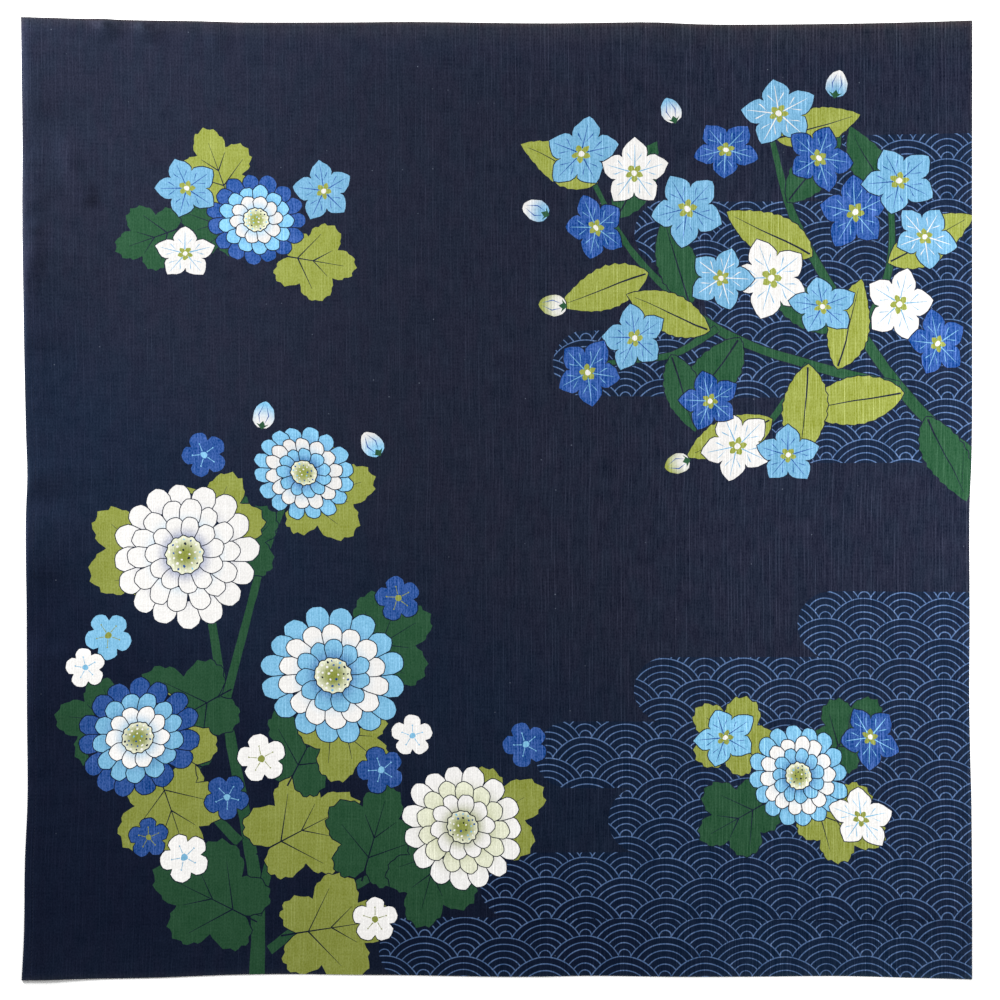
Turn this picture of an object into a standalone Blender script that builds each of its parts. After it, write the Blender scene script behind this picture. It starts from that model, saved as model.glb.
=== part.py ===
# Furoshiki: one square of printed slub cotton, laid face up and smoothed out by hand.
# X runs across the cloth, Y up to its top selvedge, Z out of its face.
# The origin is under the middle of the cloth, on the surface that it lies on.
import math

import bmesh
import bpy

# Driving sizes, in metres
WIDTH = 1.040  # hem to hem, at its widest
HEIGHT = 1.053  # selvedge to selvedge, along the left hem
BODY_THICKNESS = 0.0010
HEM_THICKNESS = 0.0020  # three layers of cloth, pressed and stitched
HEM_WIDTH = 0.0106
HEM_ROUND = 0.0022  # run of the rounded fold at the outer edge
HEM_STEP = 0.0040  # run over which the cloth drops from the hem to the floor

# How far each edge lies in from that side of the smallest box round the cloth.
# Columns: share of the way along the edge, inward distance in metres.
# The top and bottom rows run from left to right, the side rows from top to bottom.
TOP_BOW = (
    (0.00, 0.0000), (0.06, 0.0018), (0.09, 0.0023), (0.12, 0.0037), (0.18, 0.0043), (0.23, 0.0058),
    (0.35, 0.0058), (0.41, 0.0053), (0.55, 0.0069), (0.64, 0.0059), (0.67, 0.0061), (0.73, 0.0083),
    (0.88, 0.0071), (1.00, 0.0041),
)
BOTTOM_BOW = (
    (0.00, 0.0000), (0.03, 0.0002), (0.06, 0.0013), (0.14, 0.0027), (0.21, 0.0056), (0.28, 0.0068),
    (0.35, 0.0059), (0.40, 0.0056), (0.50, 0.0038), (0.55, 0.0039), (0.60, 0.0049), (0.69, 0.0037),
    (0.77, 0.0039), (0.86, 0.0046), (0.94, 0.0026), (1.00, 0.0012),
)
LEFT_BOW = (
    (0.00, 0.0000), (0.13, 0.0018), (0.20, 0.0016), (0.33, 0.0033), (0.43, 0.0055), (0.475, 0.0070),
    (0.52, 0.0054), (0.57, 0.0055), (0.61, 0.0062), (0.73, 0.0067), (0.79, 0.0074), (0.82, 0.0070),
    (0.88, 0.0043), (0.95, 0.0034), (1.00, 0.0008),
)
RIGHT_BOW = (
    (0.00, 0.0000), (0.36, 0.0000), (0.42, 0.0001), (0.46, 0.0008), (0.51, 0.0029), (0.63, 0.0027),
    (0.71, 0.0031), (0.78, 0.0018), (0.81, 0.0009), (0.91, 0.0001), (1.00, 0.0000),
)

# Soft ripples that smoothing left in the cloth, each a low ridge along a straight line.
# Columns: start and end, from the left and from the top edge, half width, height at start and end.
RIPPLES = (
    (0.094, 0.000, 0.095, 0.008, 0.021, 0.0022, 0.0022),
    (0.138, 0.000, 0.139, 0.008, 0.021, 0.0020, 0.0020),
    (0.211, 0.000, 0.213, 0.024, 0.017, 0.0009, 0.0009),
    (0.046, 0.144, 0.068, 0.194, 0.018, 0.0011, 0.0024),
    (0.014, 0.188, 0.014, 0.222, 0.026, 0.0008, 0.0008),
    (0.011, 0.236, 0.012, 0.282, 0.020, 0.0022, 0.0010),
    (0.970, 0.386, 0.963, 0.440, 0.014, 0.0015, 0.0015),
    (0.690, 0.000, 0.694, 0.022, 0.026, 0.0010, 0.0010),
)

# Grid lines of the cloth. Columns: where a band ends, from the left or from the top edge,
# and the number of equal cells in it. The bands are narrow where the ripples are.
COLUMN_BANDS = (
    (HEM_ROUND, 1), (HEM_WIDTH, 1), (HEM_WIDTH + HEM_STEP, 1), (0.168, 15), (0.234, 5),
    (0.660, 7), (0.720, 5), (0.944, 4), (0.990, 7),
    (WIDTH - HEM_WIDTH - HEM_STEP, 3), (WIDTH - HEM_WIDTH, 1), (WIDTH - HEM_ROUND, 1), (WIDTH, 1),
)
ROW_BANDS = (
    (0.065, 5), (0.113, 1), (0.225, 10), (0.320, 9),
    (0.370, 1), (0.462, 8), (1.000, 11), (HEIGHT, 2),
)


def lines_of(bands):
    # Distances of the grid lines from the first edge, worked out band by band.
    lines = [0.0]
    for end, cells in bands:
        start = lines[-1]
        lines += [start + (end - start) * (i + 1) / cells for i in range(cells)]
    return lines


def bow_at(table, share):
    # The smooth curve through a table's rows, by a Hermite blend with central slopes.
    for i in range(len(table) - 1):
        if share <= table[i + 1][0]:
            break
    (s0, b0), (s1, b1) = table[i], table[i + 1]
    s_before, b_before = table[max(i - 1, 0)]
    s_after, b_after = table[min(i + 2, len(table) - 1)]
    span = s1 - s0
    slope0 = (b1 - b_before) / (s1 - s_before) * span
    slope1 = (b_after - b0) / (s_after - s0) * span
    t = (share - s0) / span
    return (
        b0 * (2 * t**3 - 3 * t**2 + 1)
        + slope0 * (t**3 - 2 * t**2 + t)
        + b1 * (3 * t**2 - 2 * t**3)
        + slope1 * (t**3 - t**2)
    )


def place(across, down):
    # Where a point of the square cloth lies once its edges have bowed in.
    # Each bow dies out evenly towards the opposite edge.
    u, v = across / WIDTH, down / HEIGHT
    shift_x = (1 - u) * bow_at(LEFT_BOW, v) - u * bow_at(RIGHT_BOW, v)
    shift_y = (1 - v) * bow_at(TOP_BOW, u) - v * bow_at(BOTTOM_BOW, u)
    return across + shift_x - WIDTH / 2, HEIGHT / 2 - (down + shift_y)


def lift(across, down):
    # Height of the underside over the floor: each ripple is a raised cosine across its line.
    height = 0.0
    for x0, y0, x1, y1, half_width, start_crest, end_crest in RIPPLES:
        run_x, run_y = x1 - x0, y1 - y0
        along = ((across - x0) * run_x + (down - y0) * run_y) / (run_x**2 + run_y**2)
        along = min(max(along, 0.0), 1.0)
        away = math.hypot(across - x0 - along * run_x, down - y0 - along * run_y)
        if away < half_width:
            crest = start_crest + (end_crest - start_crest) * along
            height += crest * (1 + math.cos(math.pi * away / half_width)) / 2
    return height


def thickness_share(across):
    # Thickness as a share of the hem's: rounded at the fold, full in the hem, thin in the body.
    from_side = min(across, WIDTH - across)
    body = BODY_THICKNESS / HEM_THICKNESS
    if from_side < HEM_ROUND / 2:
        return (1 + body) / 2
    if from_side < HEM_WIDTH + HEM_STEP / 2:
        return 1.0
    return body


def make_underside():
    # A grid with one vertex for each crossing of a column line and a row line.
    columns, rows = lines_of(COLUMN_BANDS), lines_of(ROW_BANDS)
    bm = bmesh.new()
    bmesh.ops.create_grid(bm, x_segments=len(columns) - 1, y_segments=len(rows) - 1, size=0.5)
    shares = []
    for vert in bm.verts:
        across = columns[round((vert.co.x + 0.5) * (len(columns) - 1))]
        down = rows[round((0.5 - vert.co.y) * (len(rows) - 1))]
        x, y = place(across, down)
        vert.co = (x, y, lift(across, down))
        shares.append(thickness_share(across))
    mesh = bpy.data.meshes.new("cloth")
    bm.to_mesh(mesh)
    bm.free()
    return mesh, shares


def make_material():
    material = bpy.data.materials.new("navy slub cotton")
    material.use_nodes = True
    shader = material.node_tree.nodes["Principled BSDF"]
    shader.inputs["Base Color"].default_value = (0.022, 0.027, 0.052, 1)
    shader.inputs["Roughness"].default_value = 0.85
    shader.inputs["Metallic"].default_value = 0.0
    return material


def make_cloth(collection):
    mesh, shares = make_underside()
    cloth = bpy.data.objects.new("cloth", mesh)
    collection.objects.link(cloth)
    cloth.data.materials.append(make_material())
    group = cloth.vertex_groups.new(name="thickness")
    for index, share in enumerate(shares):
        group.add([index], share, "REPLACE")
    shell = cloth.modifiers.new("thickness", "SOLIDIFY")
    shell.thickness = HEM_THICKNESS
    shell.offset = 1.0
    shell.vertex_group = group.name
    cloth.data.shade_smooth()


for old in list(bpy.data.objects):
    bpy.data.objects.remove(old)
furoshiki = bpy.data.collections.new("furoshiki")
bpy.context.scene.collection.children.link(furoshiki)
make_cloth(furoshiki)
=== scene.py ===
# Furoshiki of printed slub cotton, spread face up on a pale floor.
# The cloth is in metres, as the frame is; its print is drawn in millimetres from the cloth's middle.
import bpy
import numpy as np
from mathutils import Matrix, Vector
from mathutils.bvhtree import BVHTree
from mathutils.geometry import delaunay_2d_cdt


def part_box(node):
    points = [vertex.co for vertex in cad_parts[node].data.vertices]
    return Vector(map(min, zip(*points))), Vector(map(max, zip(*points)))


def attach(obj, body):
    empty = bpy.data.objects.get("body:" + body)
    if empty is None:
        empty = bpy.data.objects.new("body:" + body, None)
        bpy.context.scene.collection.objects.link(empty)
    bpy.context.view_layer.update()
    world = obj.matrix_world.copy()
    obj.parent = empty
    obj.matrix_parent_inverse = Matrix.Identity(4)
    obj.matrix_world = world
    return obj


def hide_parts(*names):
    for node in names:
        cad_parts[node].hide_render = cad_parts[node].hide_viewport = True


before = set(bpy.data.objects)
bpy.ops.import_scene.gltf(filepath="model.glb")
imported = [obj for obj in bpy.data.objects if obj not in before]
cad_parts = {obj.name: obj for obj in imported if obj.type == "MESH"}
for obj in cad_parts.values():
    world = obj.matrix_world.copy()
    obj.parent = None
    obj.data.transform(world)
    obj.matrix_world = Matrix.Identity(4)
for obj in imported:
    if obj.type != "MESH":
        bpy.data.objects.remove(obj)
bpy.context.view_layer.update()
lowCorner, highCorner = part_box("cloth")
mm = 0.001
tau = 2 * np.pi
rng = np.random.default_rng(11)

# The cloth's form
cloth = {
    "width": round(highCorner[0] - lowCorner[0], 3),  # hem to hem, at its widest
    "height": round(highCorner[1] - lowCorner[1], 3),  # selvedge to selvedge, along the left hem
    "thickness": 0.30 * mm,
    "layerPitch": 0.34 * mm,  # from one layer of a hem to the next
    "restHeight": 0.20 * mm,  # middle of the cloth over the floor
    "hemWidth": 10.6 * mm,
    "hemSlope": 22 * mm,  # run over which the cloth drops from its hem to the floor
    "hemPuff": 0.05 * mm,  # how the hem swells between its fold and its stitches
    "puffRun": 8 * mm,
    "tiltRun": 100 * mm,  # run over which the cloth beyond the stitches comes down again
    "rollRun": 1.2 * mm,  # run over which the outer fold rounds up
    "foldLine": 0.49 * mm,  # where the face turns down into the outer fold
    "rawEdge": 1.5 * mm,  # the turned-in edge, from the outer fold
    "stitchLine": 9.4 * mm,
    "stitchDip": 0.03 * mm,
    "dipRun": 0.9 * mm,
    "ruck": 0.10 * mm,  # small rucks that the stitches draw up beside the hem
    "ruckLine": 12 * mm,
    "ruckRun": 6 * mm,
    "slack": 0.35 * mm,  # how far loose cloth stands off the floor
    "slackLine": 12 * mm,  # from the top and bottom edges, and the run over which it comes in
    "slackRun": 60 * mm,
}

# How the side hems stand: millimetres down the side, rise from the outer fold to the stitches, height of the
# rounded fold itself
leftStand = (
    (0, .7, .3), (14, 2.0, .6), (86, 2.0, .6), (110, .2, .5), (136, .2, .5), (160, 1.0, 1.2),
    (226, .8, 1.4), (262, 2.2, 1.9), (282, 1.3, 2.5), (314, .15, 2.3), (346, .05, 2.0), (372, .05, .25),
    (474, .05, .25), (495, .3, 1.2), (505, .3, 1.2), (522, .05, .3), (532, .05, .3), (554, .05, 2.2),
    (600, .05, 2.2), (628, .05, .15), (680, .05, .2), (700, .9, 1.0), (760, .9, 1.0), (785, .1, .4),
    (1053, .2, .5),
)
rightStand = (.05, .1)  # the same all the way down

# How far each edge lies in from that side of the smallest box round the cloth: share of the way along it,
# inward millimetres. The top and bottom rows run from left to right, the side rows from top to bottom.
topBow = (
    (0, 0), (.06, 1.8), (.09, 2.3), (.12, 3.7), (.18, 4.3), (.23, 5.8), (.35, 5.8), (.41, 5.3),
    (.55, 6.9), (.64, 5.9), (.67, 6.1), (.73, 8.3), (.88, 7.1), (1, 4.1),
)
bottomBow = (
    (0, 0), (.03, .2), (.06, 1.3), (.14, 2.7), (.21, 5.6), (.28, 6.8), (.35, 5.9), (.40, 5.6), (.50, 3.8),
    (.55, 3.9), (.60, 4.9), (.69, 3.7), (.77, 3.9), (.86, 4.6), (.94, 2.6), (1, 1.2),
)
leftBow = (
    (0, 0), (.13, 1.8), (.20, 1.6), (.33, 3.3), (.43, 5.5), (.475, 7.0), (.52, 5.4), (.57, 5.5),
    (.61, 6.2), (.73, 6.7), (.79, 7.4), (.82, 7.0), (.88, 4.3), (.95, 3.4), (1, .8),
)
rightBow = (
    (0, 0), (.36, 0), (.42, .1), (.46, .8), (.51, 2.9), (.63, 2.7), (.71, 3.1), (.78, 1.8), (.81, .9),
    (.91, .1), (1, 0),
)

# Soft ridges that smoothing left in the cloth: start and end, from the left and from the top edge,
# half width, height at the start and at the end, in millimetres
ripples = (
    (94, 0, 95, 8, 21, 2.2, 2.2), (138, 0, 139, 8, 21, 2.0, 2.0), (211, 0, 213, 24, 17, .9, .9),
    (46, 144, 68, 194, 18, 1.1, 2.4), (14, 188, 14, 222, 26, .8, .8), (11, 236, 12, 282, 20, 2.2, 1.0),
    (970, 386, 963, 440, 14, 1.5, 1.5), (690, 0, 694, 22, 26, 1.0, 1.0),
)


def eased(share):
    # 0 to 1 with level ends: 3 t squared less 2 t cubed
    t = np.clip(share, 0, 1)
    return t * t * (3 - 2 * t)


def bowAt(table, share):
    # A Hermite curve through a table's rows, whose slope at a row is that of the line joining its neighbours
    at, inward = np.array(table, float).T
    rows = np.arange(len(at))
    before, after = np.maximum(rows - 1, 0), np.minimum(rows + 1, len(at) - 1)
    slope = (inward[after] - inward[before]) / (at[after] - at[before])
    i = np.clip(np.searchsorted(at, share, side="right") - 1, 0, len(at) - 2)
    span = at[i + 1] - at[i]
    t = (share - at[i]) / span
    return mm * (inward[i] * (2 * t**3 - 3 * t**2 + 1) + slope[i] * span * (t**3 - 2 * t**2 + t)
                 + inward[i + 1] * (3 * t**2 - 2 * t**3) + slope[i + 1] * span * (t**3 - t**2))


def place(across, down):
    # Where a point of the square cloth lies once its edges bow in; a bow dies out towards the opposite edge
    u, v = across / cloth["width"], down / cloth["height"]
    shiftX = (1 - u) * bowAt(leftBow, v) - u * bowAt(rightBow, v)
    shiftY = (1 - v) * bowAt(topBow, u) - v * bowAt(bottomBow, u)
    return across + shiftX - cloth["width"] / 2, cloth["height"] / 2 - down - shiftY


def rippleLift(across, down):
    # Each ripple is a raised cosine across its line, which wavers a little and is fullest in its middle
    lift = np.zeros(np.broadcast(across, down).shape)
    for x0, y0, x1, y1, halfWidth, startCrest, endCrest in np.array(ripples) * mm:
        runX, runY = x1 - x0, y1 - y0
        along = np.clip(((across - x0) * runX + (down - y0) * runY) / (runX**2 + runY**2), 0, 1)
        waver = 0.12 * halfWidth * np.sin(tau * along + x0 / mm)
        away = np.hypot(across - x0 - along * runX - waver, down - y0 - along * runY)
        crest = (startCrest + (endCrest - startCrest) * along) * (0.78 + 0.22 * np.sin(np.pi * along))
        lift += crest * (1 + np.cos(np.pi * np.minimum(away / halfWidth, 1))) / 2
    return lift


def slackLift(across, down):
    # Broad shallow rises of cloth that isn't pulled tight: products of slow sines, never below the floor,
    # and gone at the top and bottom edges, which lie flat
    rise = np.sin(across * 9.1 + 2.1 * np.sin(down * 4.3)) * np.sin(down * 7.7 + 1.3)
    rise = rise + 0.6 * np.sin(across * 17 - down * 6 + 2) * np.sin(down * 13 + 0.4)
    fromEdge = np.minimum(down, cloth["height"] - down)
    comesIn = eased((fromEdge - cloth["slackLine"]) / cloth["slackRun"])
    return cloth["slack"] * np.clip(rise + 0.4, 0, None) * comesIn


def standAt(across, down):
    # Rise to the stitches and height of the rounded fold, of the nearer hem
    onLeft = across < cloth["width"] / 2
    table = np.array(leftStand, float)
    return [np.where(onLeft, np.maximum(bowAt(table[:, [0, k]], down / mm), 0), rightStand[k - 1] * mm)
            for k in (1, 2)]


def toSide(across):
    # Distance from the nearer side
    return np.minimum(across, cloth["width"] - across)


def beyondHem(edge, run):
    # 1 over the hem, eased down to 0 over a run beyond it
    return 1 - eased((edge - cloth["hemWidth"]) / run)


def hemTilt(across, down):
    # A rise from the outer fold that levels out at the end of the hem, as t less half its square, and an
    # eased fall beyond it
    edge = toSide(across)
    share = np.clip((edge - cloth["foldLine"]) / (cloth["hemWidth"] - cloth["foldLine"]), 0, 1)
    return standAt(across, down)[0] * (2 * share - share**2) * beyondHem(edge, cloth["tiltRun"])


def hemLift(across, down):
    # The turned layers lift the face by two pitches, the outer fold rounds up as one less an exponential, and
    # the hem swells as half a sine up to the stitches, which pull a shallow puckered groove into it
    edge = toSide(across)
    start = np.maximum(edge - cloth["foldLine"], 0)
    rise = 2 * cloth["layerPitch"] * beyondHem(edge, cloth["hemSlope"]) + hemTilt(across, down)
    roll = (1 - np.exp(-start / cloth["rollRun"])) * beyondHem(edge, cloth["tiltRun"])
    rise = rise + standAt(across, down)[1] * roll
    rise = rise + cloth["hemPuff"] * np.sin(np.pi * np.clip(start / cloth["puffRun"], 0, 1))
    groove = cloth["stitchDip"] * np.exp(-((edge - cloth["stitchLine"]) / cloth["dipRun"]) ** 2)
    pucker = 0.7 + 0.3 * np.sin(down * 310 + 2 * np.sin(down * 57))
    ruck = cloth["ruck"] * np.exp(-((edge - cloth["ruckLine"]) / cloth["ruckRun"]) ** 2)
    ruck = ruck * np.sin(down * 190 + 3 * np.sin(down * 31)) * (edge > cloth["foldLine"] * 2)
    return rise - groove * pucker + ruck


def lifted(across, down, lift):
    # Middle of the cloth at its rest height, raised by its ripples, its slack and the lift given
    x, y = place(across, down)
    z = cloth["restHeight"] + rippleLift(across, down) + slackLift(across, down) + lift
    return np.stack([x, y, z], -1)


def facePoints(across, down):
    # Middle of the cloth under its printed face
    return lifted(across, down, hemLift(across, down))


def lowestPoints(across, down):
    # Middle of the lowest layer of a hem
    return lifted(across, down, hemTilt(across, down))


def faceNormals(across, down):
    # Cross product of the slopes across and up the cloth, from steps of a quarter millimetre
    step = 0.25 * mm
    alongX = facePoints(across + step, down) - facePoints(across - step, down)
    alongY = facePoints(across, down - step) - facePoints(across, down + step)
    normal = np.cross(alongX, alongY)
    return normal / np.linalg.norm(normal, axis=-1, keepdims=True)


# The print: flat inks on a navy ground.
# Reflectance of each ink, how strongly the slubs show in it, whether it takes the ground's tone changes, and
# how far it takes the painted lift of the pale inks, which evens out the lamps' fall-off towards the lower
# left
inks = {
    "ground": ((0.0083, 0.0109, 0.0228), 0.28, 1, 0),
    "mist": ((0.0048, 0.0098, 0.0248), 0.22, 1, 0),
    "white": ((0.457, 0.450, 0.440), 0.07, 0, 1),
    # sky and azure are one blue: azure is its painted brighter copy, laid mostly in the lower part, where the
    # lamps give less light
    "sky": ((0.108, 0.246, 0.372), 0.14, 0, 0),
    "azure": ((0.147, 0.344, 0.505), 0.14, 0, 0),
    "royal": ((0.0198, 0.0590, 0.2080), 0.32, 0, 0),
    "lime": ((0.179, 0.205, 0.042), 0.135, 0, 0),
    "green": ((0.0146, 0.0530, 0.0246), 0.165, 0, 0),
    "cream": ((0.505, 0.515, 0.400), 0.10, 0, 0.3),
}
# Painted lift of the pale inks, which evens out the lamps' fall-off: a plane that rises down the cloth and
# falls to the right
paintedLift = {"down": 0.88, "across": 0.34, "less": 0.215}
stencil = {"waver": 0.34, "rim": 1.1}  # uneven edge of a hand-cut stencil, and bare ground left round a motif
printAreas = []  # flat areas in the order they are laid, the later over the earlier


def turned(points, degrees):
    # Turned anticlockwise about the origin
    a = np.radians(degrees)
    return points @ np.array([[np.cos(a), np.sin(a)], [-np.sin(a), np.cos(a)]])


def around(count):
    # Evenly spaced angles of a full turn
    return np.linspace(0, tau, count, endpoint=False)


def polar(radius, angles):
    # Points at a radius and an angle from straight up
    return np.stack([radius * np.sin(angles), radius * np.cos(angles)], 1)


def twiceArea(outline):
    # Above zero where the outline runs anticlockwise
    ahead = np.roll(outline, -1, 0)
    return np.sum(outline[:, 0] * ahead[:, 1] - ahead[:, 0] * outline[:, 1])


def swollen(outline, by):
    # Each point moved out along the mean normal of its two sides
    run = np.roll(outline, -1, 0) - np.roll(outline, 1, 0)
    normal = np.stack([run[:, 1], -run[:, 0]], 1) * np.sign(twiceArea(outline))
    return outline + by * normal / np.maximum(np.hypot(*normal.T), 1e-9)[:, None]


def wavered(points):
    # Each point moved by two slow sines of its place
    x, y = points.T
    sideways = np.sin(0.55 * y + 2 * np.sin(0.13 * x)) + 0.5 * np.sin(1.1 * y + 0.3 * x)
    upward = np.sin(0.60 * x + 2 * np.sin(0.11 * y)) + 0.5 * np.sin(1.2 * x - 0.4 * y)
    return points + stencil["waver"] * np.stack([sideways, upward], 1)


def lay(outline, ink, at=(0, 0), turn=0, fadeTo=None, reach=1.0, fadeFrom=(0, 0), waves=0, rim=0):
    # One flat area of ink, which fades into another with the distance from a point, over reach millimetres.
    # A rim keeps a thin line of bare ground round it.
    placed = wavered(turned(outline, turn) + at)
    centre = turned(np.array([fadeFrom], float), turn)[0] + at
    if rim:
        printAreas.append((swollen(placed, rim), "ground", "ground", centre, 1.0, 0))
    printAreas.append((placed, ink, fadeTo or ink, centre, reach, waves))


def roundPetal(length, width, start, lean=0.0, cleft=0.0):
    # Flanks that widen as a sine towards the shoulder, then half an ellipse, a little dented at its tip
    foot, shoulder = width * 0.40, length - width * 0.55
    a = np.linspace(0, 1, 3, endpoint=False)
    halfWidth = foot / 2 + (width - foot) / 2 * np.sin(a * np.pi / 2) ** 1.3
    flank = np.stack([halfWidth, start + a * (shoulder - start)], 1)
    t = np.linspace(0, np.pi, 10)
    dent = 1 - cleft * np.exp(-((t - np.pi / 2) / 0.35) ** 2)
    tip = np.stack([width / 2 * np.cos(t), shoulder + (length - shoulder) * np.sin(t) * dent], 1)
    outline = np.vstack([flank, tip, flank[::-1] * (-1, 1)])
    outline[:, 0] += lean * width * ((outline[:, 1] - start) / (length - start)) ** 2
    return outline


def disc(radius, points=16, scallops=0, depth=0.0):
    # A circle, or one whose radius swells and shrinks as a cosine
    t = around(points)
    return polar(radius * (1 + depth * np.cos(scallops * t)), t)


def bellStar(radius, notch=0.56, points=5, uneven=0.0):
    # Five pointed lobes: each flank is a cubic curve that leaves the notch outwards and bends to the tip
    t = np.linspace(0, 1, points, endpoint=False)[:, None]
    ways = np.radians([-36, -35.3, -12.2, 0])
    a, b, c, d = polar(radius * np.array([notch, 0.80, 0.90, 1.0]), ways)
    rising = (1 - t) ** 3 * a + 3 * (1 - t) ** 2 * t * b + 3 * (1 - t) * t**2 * c + t**3 * d
    lobe = np.vstack([rising, [d], rising[::-1][:-1] * (-1, 1)])
    outline = np.vstack([turned(lobe, -72 * i) for i in range(5)])
    way = np.arctan2(outline[:, 0], outline[:, 1])
    p, q = rng.uniform(0, tau, 2)
    return outline * (1 + uneven * (np.sin(way + p) + 0.7 * np.sin(2 * way + q)))[:, None]


def plumRound(radius):
    # Five round petals: the radius follows a softened cosine of two and a half turns
    a = around(40)
    r = radius * (0.66 + 0.34 * np.abs(np.cos(2.5 * a)) ** 0.55)
    return polar(r * (1 + 0.03 * np.sin(a + rng.uniform(0, tau))), a)


def lobedOutline(length):
    # Chrysanthemum leaf from its foot up: five lobes on a circle, smaller towards the foot, with fine teeth
    t = np.linspace(-np.pi, np.pi, 84, endpoint=False)
    lobes = 0.60 + 0.40 * np.abs(np.cos(2.5 * t)) ** 0.75
    fade = 1 - 0.22 * (np.abs(t) / np.pi) ** 1.5
    p, q = rng.uniform(0, tau, 2)
    r = lobes * fade * (1 + 0.035 * np.cos(26 * t)) * (1 + 0.05 * np.sin(t + p) + 0.035 * np.sin(2 * t + q))
    x, y = 0.92 * r * np.sin(t), r * np.cos(t)
    return np.stack([x, y - y.min()], 1) * length / 1.75


def leafSides(bend, length, a, half):
    # Right and left side of a leaf or its rib, half a width off a line that bends as a squared sine
    midrib = bend * length * np.sin(np.pi * a / 2) ** 2
    return [np.stack([midrib + side * half, a * length], 1) for side in (1, -1)]


def lanceOutline(length, width, teeth, toothDepth, bend):
    # Bellflower leaf from its foot up: half width as a skewed sine, cut back in a saw, on a bent midrib
    a = np.linspace(0, 1, teeth * 3 + 1)
    half = width / 2 * np.sin(np.pi * a**0.85) ** 0.85 * (1 - toothDepth * ((a * teeth) % 1.0))
    right, left = leafSides(bend, length, a, half)
    return np.vstack([right, left[::-1][1:-1]])


def stemOutline(points, widths, step=10.0):
    # A smooth line through the points (Catmull-Rom), with its width to either side
    p = np.array(points, float)
    q = np.vstack([2 * p[0] - p[1], p, 2 * p[-1] - p[-2]])
    line, width = [], []
    for i in range(len(p) - 1):
        t = np.linspace(0, 1, max(int(np.hypot(*(p[i + 1] - p[i])) / step), 3), endpoint=False)[:, None]
        a, b, c, d = q[i:i + 4]
        bend, twist = 2 * a - 5 * b + 4 * c - d, 3 * b - a - 3 * c + d
        line.append((2 * b + (c - a) * t + bend * t**2 + twist * t**3) / 2)
        width.append(widths[i] + (widths[i + 1] - widths[i]) * t[:, 0])
    line, width = np.vstack(line + [p[-1:]]), np.append(np.concatenate(width), widths[-1])
    run = np.gradient(line, axis=0)
    side = np.stack([run[:, 1], -run[:, 0]], 1) / np.hypot(*run.T)[:, None] * width[:, None] / 2
    return np.vstack([line + side, (line - side)[::-1]])


def mistBar(y, start):
    # A bar with half-round ends
    half, end = mistBars["half"], mistBars["end"]
    t = np.linspace(-np.pi / 2, np.pi / 2, 20)
    right = np.stack([end - half + half * np.cos(t), y + half * np.sin(t)], 1)
    left = np.stack([start + half - half * np.cos(t), y - half * np.sin(t)], 1)
    return np.vstack([right, left])


def taper(half, start, end):
    # A bar up from start to end that narrows from half a width to a fifth of a millimetre
    return np.array([[-half, start], [half, start], [0.2, end], [-0.2, end]])


def tiltedLay(at, squash, lean):
    # Lays the areas of a flower that is seen at a slant: each turned, then narrowed to a share of its height
    # along a leaning direction
    def add(outline, ink, way=0, **more):
        narrowed = turned(turned(turned(outline, way), lean) * (1, squash), -lean)
        lay(narrowed, ink, at, **more)
    return add


def layChrysanthemum(at, radius, turn, rings, squash=1.0, lean=0.0):
    # Rings of round petals from the outside in, each petal over its neighbour, then a dotted cushion
    add = tiltedLay(at, squash, lean)
    for share, petals, tipInk, footInk in rings:
        length = radius * share
        width = tau * length * 0.80 / petals
        add(disc(length * 0.84, 36), "ground")
        for i in range(petals):
            way = turn + 360 / petals * (i + 0.5 * (share < 0.99)) + rng.uniform(-1.5, 1.5)
            petal = roundPetal(length * rng.uniform(0.955, 1.03), width * rng.uniform(0.94, 1.06),
                               length * 0.34, rng.uniform(-0.1, 0.1), rng.uniform(0, 0.06))
            add(petal, footInk, way, fadeTo=tipInk, reach=length * 0.82, rim=1.05)
    heart = radius * 0.25
    add(disc(heart, 78, 13, 0.035), "lime", turn, fadeTo="cream", reach=heart * 1.05, rim=1.2)
    for ring, dots in ((0.28, 5), (0.60, 10), (0.84, 14)):
        for i in range(dots):
            a = tau * (i + rng.uniform(-0.2, 0.2)) / dots
            dot = disc(rng.uniform(0.9, 1.5) * radius / 70, 6)
            dot = dot + heart * ring * np.array([np.sin(a), np.cos(a)])
            add(dot, ("white", "azure", "royal", "white", "ground")[rng.integers(5)])


def layBellflower(at, radius, turn, ink, veinInk, squash=1.0, lean=0.0):
    # A five-lobed star with a vein and two side veins in each lobe, and a small star in its throat
    add = tiltedLay(at, squash, lean)
    low, high, tip = np.array([0.16, 0.78, 0.86]) * radius
    midVein = np.array([[-0.72, low], [0.72, low], [0.25, high], [0, tip], [-0.25, high]])
    sideVein = np.array([[0.02, 0.30], [0.20, 0.52], [0.225, 0.60], [0.185, 0.545]]) * radius
    add(bellStar(radius, uneven=0.03), ink, turn, rim=stencil["rim"])
    for i in range(5):
        for vein in (midVein, sideVein, sideVein * (-1, 1)):
            add(vein, veinInk, turn + 72 * i)
    add(bellStar(radius * 0.27, 0.42, 3), "lime", turn + 36)
    add(disc(radius * 0.085, 8), "white")


def layPlum(at, radius, turn, ink, heartInk):
    # A small filler blossom with five stamens
    lay(plumRound(radius), ink, at, turn, rim=stencil["rim"])
    stamen = taper(0.5, 0.18 * radius, 0.5 * radius)
    for i in range(5):
        lay(stamen, heartInk, at, turn + 72 * i)
        lay(disc(0.9, 6) + (0, 0.52 * radius), heartInk, at, turn + 72 * i)
    lay(disc(radius * 0.15, 9), heartInk, at)


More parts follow.
